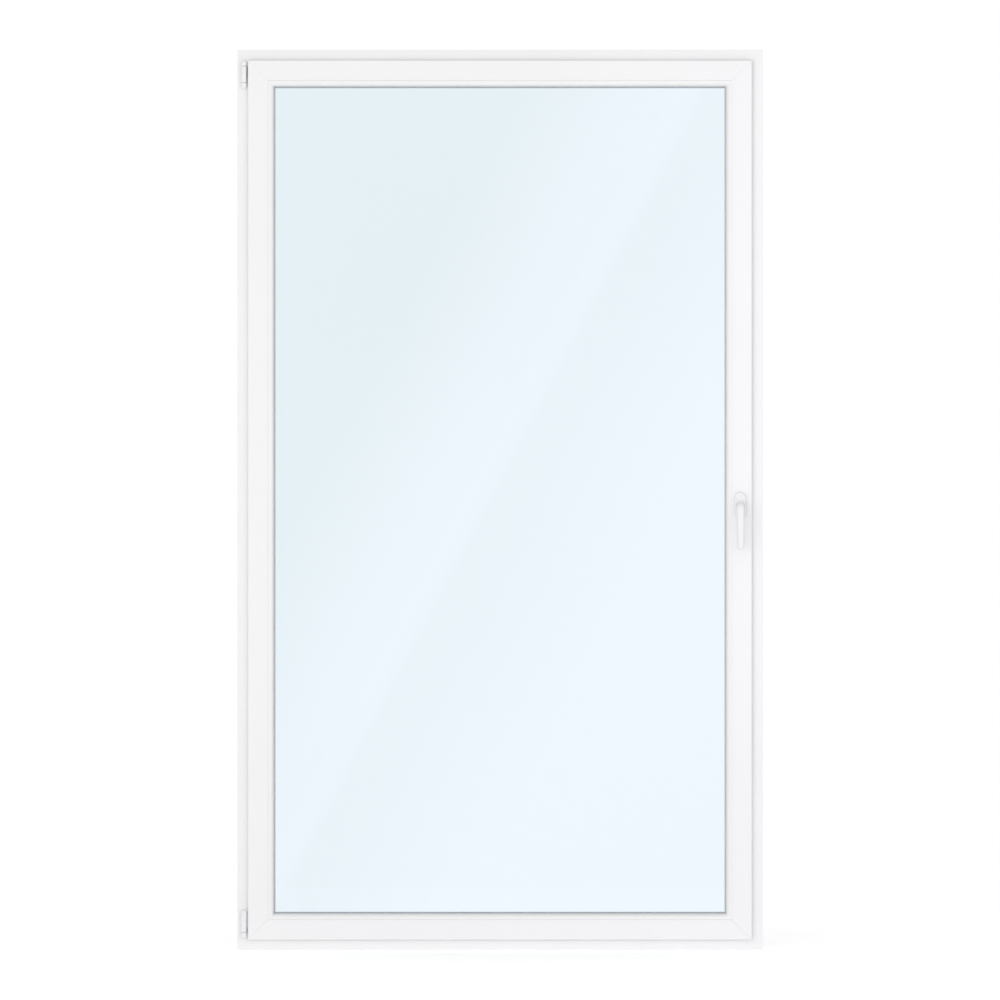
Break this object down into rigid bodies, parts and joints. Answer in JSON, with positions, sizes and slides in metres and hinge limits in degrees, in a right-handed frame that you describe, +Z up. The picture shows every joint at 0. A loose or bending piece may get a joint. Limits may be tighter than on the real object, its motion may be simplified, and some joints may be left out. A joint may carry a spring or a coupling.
{
  "type": "french window",
  "caption": "White plastic french window with one tall glazed leaf that turns and tilts in a fixed frame, with lever handle and hinges.",
  "frame": {"origin": "middle of the fixed frame's underside, halfway through its depth", "axes": "+Z up, +X along the width towards the handle side, -Y into the room, +Y outdoors"},
  "size_m": [1.4, 0.146, 2.4],
  "materials": {
    "white_pvc": "smooth satin-gloss extruded plastic",
    "hinge_cover": "smooth moulded plastic",
    "white_hinge": "smooth white paint",
    "zinc_steel": "zinc plated",
    "grey_seal": "matte extruded seal",
    "clear_glass": "float glass, faint blue",
    "spacer_metal": "mill finish",
    "packer_plastic": "moulded",
    "handle_white": "smooth white paint"
  },
  "bodies": {
    "frame": {"frame_head": "white_pvc", "frame_sill": "white_pvc", "frame_hinge_jamb": "white_pvc", "frame_lock_jamb": "white_pvc", "frame_seal": "grey_seal", "striker_plates": "zinc_steel", "corner_bearing": "zinc_steel", "corner_bearing_cap": "hinge_cover", "top_bearing": "white_hinge", "top_bearing_caps": "hinge_cover", "top_hinge_pin": "zinc_steel", "drain_caps": "white_pvc"},
    "hinge_pin": {"ball_pin": "zinc_steel"},
    "stay": {"stay_arm": "zinc_steel", "stay_knuckle_cap": "hinge_cover"},
    "leaf": {"leaf_top_rail": "white_pvc", "leaf_bottom_rail": "white_pvc", "leaf_hinge_stile": "white_pvc", "leaf_lock_stile": "white_pvc", "bead_top": "white_pvc", "bead_bottom": "white_pvc", "bead_hinge_side": "white_pvc", "bead_lock_side": "white_pvc", "inner_pane": "clear_glass", "outer_pane": "clear_glass", "spacer_bar": "spacer_metal", "inner_gasket": "grey_seal", "outer_gasket": "grey_seal", "glazing_blocks": "packer_plastic", "overlap_seal": "grey_seal", "corner_band": "zinc_steel", "corner_band_cap": "hinge_cover", "lock_faceplate": "zinc_steel", "stay_faceplate": "zinc_steel", "lower_faceplate": "zinc_steel", "handle_rosette": "handle_white"},
    "handle": {"handle_lever": "handle_white", "handle_spindle": "zinc_steel"},
    "lock_rod": {"locking_cams": "zinc_steel"}
  },
  "joints": [
    {"name": "turn", "type": "hinge", "parent": "frame", "child": "hinge_pin", "pos_m": [-0.683, -0.0445, 0.05], "axis": [0, 0, -1], "range_deg": [0, 90]},
    {"name": "tilt", "type": "hinge", "parent": "hinge_pin", "child": "leaf", "pos_m": [-0.683, -0.0445, 0.05], "axis": [1, 0, 0], "range_deg": [0, 4]},
    {"name": "stay_swing", "type": "hinge", "parent": "hinge_pin", "child": "stay", "pos_m": [-0.683, -0.0445, 2.334], "axis": [0, 0, -1], "range_deg": [0, 20.8]},
    {"name": "handle_turn", "type": "hinge", "parent": "leaf", "child": "handle", "pos_m": [0.64, -0.064, 1.185], "axis": [0, 1, 0], "range_deg": [0, 180]},
    {"name": "lock_slide", "type": "slide", "parent": "leaf", "child": "lock_rod", "axis": [0, 0, 1], "range_m": [0, 0.036]}
  ],
  "couplings": [
    {"joint": "stay_swing", "follows": "tilt", "ratio": 5.18},
    {"joint": "lock_slide", "follows": "handle_turn", "m_per_rad": 0.0114}
  ]
}
